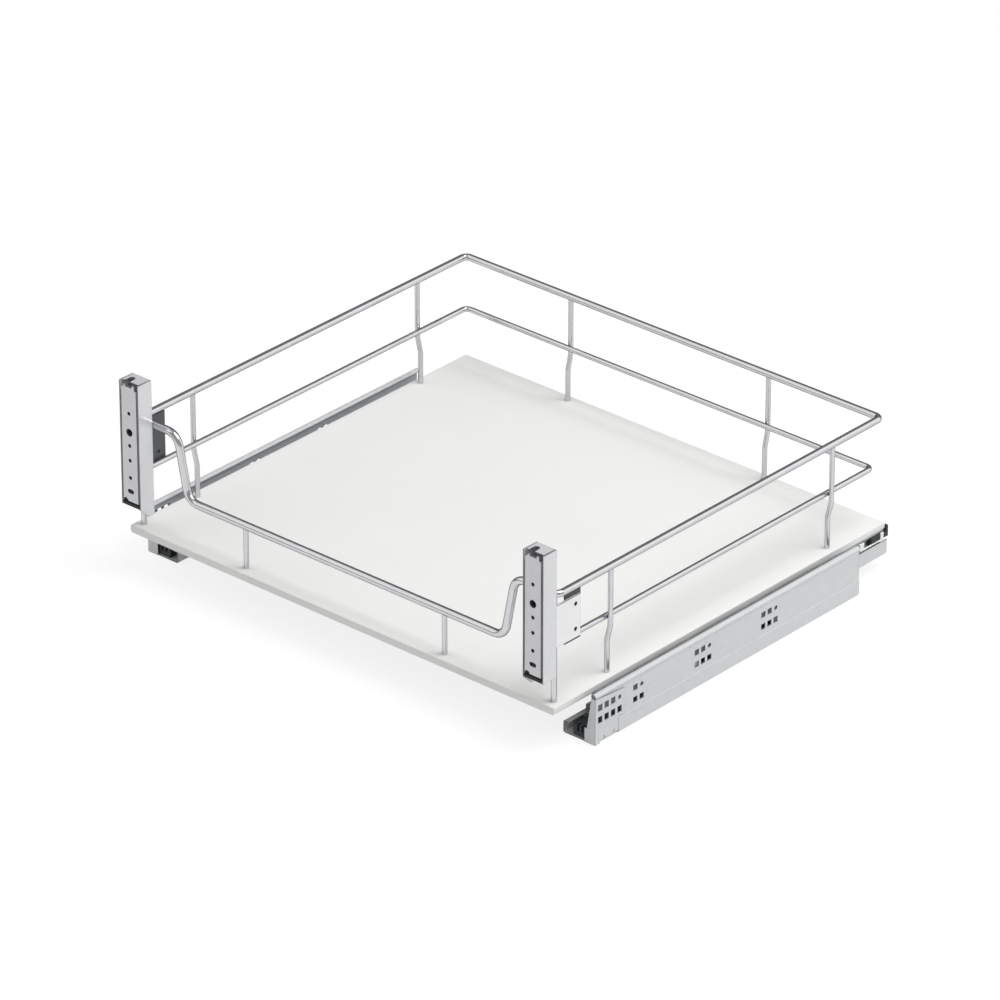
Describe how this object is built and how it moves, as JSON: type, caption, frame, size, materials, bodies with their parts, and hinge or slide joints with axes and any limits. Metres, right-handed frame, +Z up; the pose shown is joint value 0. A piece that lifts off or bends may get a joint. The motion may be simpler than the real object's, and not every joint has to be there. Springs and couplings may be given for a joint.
{
  "type": "pull-out wire drawer",
  "caption": "Pull-out drawer with a flat base board, bent-wire railing, front panel channels and full-extension roller slides for a cabinet.",
  "frame": {"origin": "centre of the outer box at the height of the slides' undersides, drawer closed", "axes": "+X to the right seen from the front, +Y from the front towards the back, +Z up; the drawer opens along -Y"},
  "size_m": [0.564, 0.4932, 0.2103],
  "materials": {
    "white_board": "white melamine, satin",
    "chrome_wire": "satin chrome plate",
    "plated_sheet": "zinc plated, smooth",
    "dark_plate": "dark grey, satin",
    "galvanised_sheet": "galvanised, fine grain",
    "zinc_screw": "bright zinc",
    "black_plastic": "moulded, matte",
    "white_plastic": "moulded, satin"
  },
  "bodies": {
    "cabinet_members": {"cabinet_member_right": "galvanised_sheet", "cabinet_member_left": "galvanised_sheet", "front_bracket_right": "galvanised_sheet", "front_bracket_left": "galvanised_sheet", "carriage_stop_right": "black_plastic", "carriage_stop_left": "black_plastic"},
    "drawer": {"base_board": "white_board", "top_rail": "chrome_wire", "lower_rail": "chrome_wire", "front_rail": "chrome_wire", "side_post_front_right": "chrome_wire", "side_post_front_left": "chrome_wire", "side_post_rear_right": "chrome_wire", "side_post_rear_left": "chrome_wire", "back_post_right": "chrome_wire", "back_post_left": "chrome_wire", "front_post_right": "chrome_wire", "front_post_left": "chrome_wire", "corner_post_right": "chrome_wire", "corner_post_left": "chrome_wire", "fixing_plate_right": "plated_sheet", "fixing_plate_left": "plated_sheet", "plate_backing_right": "dark_plate", "plate_backing_left": "dark_plate", "front_channel_right": "plated_sheet", "front_channel_left": "plated_sheet", "channel_foot_right": "black_plastic", "channel_foot_left": "black_plastic", "clamp_screw_right": "zinc_screw", "clamp_screw_left": "zinc_screw", "drawer_member_right": "galvanised_sheet", "drawer_member_left": "galvanised_sheet", "rear_shoe_right": "black_plastic", "rear_shoe_left": "black_plastic", "shoe_frame_right": "white_plastic", "shoe_frame_left": "white_plastic", "post_screws": "zinc_screw", "rail_screws": "zinc_screw"},
    "middle_right": {"middle_member_right": "galvanised_sheet"},
    "lower_carriage_right": {"lower_roller_cage_right": "black_plastic", "lower_rollers_right": "white_plastic"},
    "upper_carriage_right": {"upper_roller_cage_right": "black_plastic", "upper_rollers_right": "white_plastic"},
    "panel_strip_right": {"front_strip_right": "plated_sheet"},
    "height_adjuster_right": {"adjuster_cam_right": "zinc_screw"},
    "middle_left": {"middle_member_left": "galvanised_sheet"},
    "lower_carriage_left": {"lower_roller_cage_left": "black_plastic", "lower_rollers_left": "white_plastic"},
    "upper_carriage_left": {"upper_roller_cage_left": "black_plastic", "upper_rollers_left": "white_plastic"},
    "panel_strip_left": {"front_strip_left": "plated_sheet"},
    "height_adjuster_left": {"adjuster_cam_left": "zinc_screw"}
  },
  "joints": [
    {"name": "drawer_slide", "type": "slide", "parent": "cabinet_members", "child": "drawer", "axis": [0, -1, 0], "range_m": [0, 0.38]},
    {"name": "middle_right_slide", "type": "slide", "parent": "cabinet_members", "child": "middle_right", "axis": [0, -1, 0], "range_m": [0, 0.19]},
    {"name": "lower_carriage_right_slide", "type": "slide", "parent": "cabinet_members", "child": "lower_carriage_right", "axis": [0, -1, 0], "range_m": [0, 0.095]},
    {"name": "upper_carriage_right_slide", "type": "slide", "parent": "cabinet_members", "child": "upper_carriage_right", "axis": [0, -1, 0], "range_m": [0, 0.285]},
    {"name": "height_adjuster_turn_right", "type": "hinge", "parent": "drawer", "child": "height_adjuster_right", "pos_m": [0.24892, -0.2466, 0.0955], "axis": [0, -1, 0], "range_deg": [-45, 45]},
    {"name": "panel_strip_lift_right", "type": "slide", "parent": "drawer", "child": "panel_strip_right", "axis": [0, 0, 1], "range_m": [-0.002, 0.002]},
    {"name": "middle_left_slide", "type": "slide", "parent": "cabinet_members", "child": "middle_left", "axis": [0, -1, 0], "range_m": [0, 0.19]},
    {"name": "lower_carriage_left_slide", "type": "slide", "parent": "cabinet_members", "child": "lower_carriage_left", "axis": [0, -1, 0], "range_m": [0, 0.095]},
    {"name": "upper_carriage_left_slide", "type": "slide", "parent": "cabinet_members", "child": "upper_carriage_left", "axis": [0, -1, 0], "range_m": [0, 0.285]},
    {"name": "height_adjuster_turn_left", "type": "hinge", "parent": "drawer", "child": "height_adjuster_left", "pos_m": [-0.24892, -0.2466, 0.0955], "axis": [0, 1, 0], "range_deg": [-45, 45]},
    {"name": "panel_strip_lift_left", "type": "slide", "parent": "drawer", "child": "panel_strip_left", "axis": [0, 0, 1], "range_m": [-0.002, 0.002]}
  ],
  "couplings": [
    {"joint": "middle_right_slide", "follows": "drawer_slide", "ratio": 0.5},
    {"joint": "lower_carriage_right_slide", "follows": "drawer_slide", "ratio": 0.25},
    {"joint": "upper_carriage_right_slide", "follows": "drawer_slide", "ratio": 0.75},
    {"joint": "height_adjuster_turn_right", "follows": "panel_strip_lift_right", "rad_per_m": 392.69},
    {"joint": "middle_left_slide", "follows": "drawer_slide", "ratio": 0.5},
    {"joint": "lower_carriage_left_slide", "follows": "drawer_slide", "ratio": 0.25},
    {"joint": "upper_carriage_left_slide", "follows": "drawer_slide", "ratio": 0.75},
    {"joint": "height_adjuster_turn_left", "follows": "panel_strip_lift_left", "rad_per_m": 392.69}
  ]
}
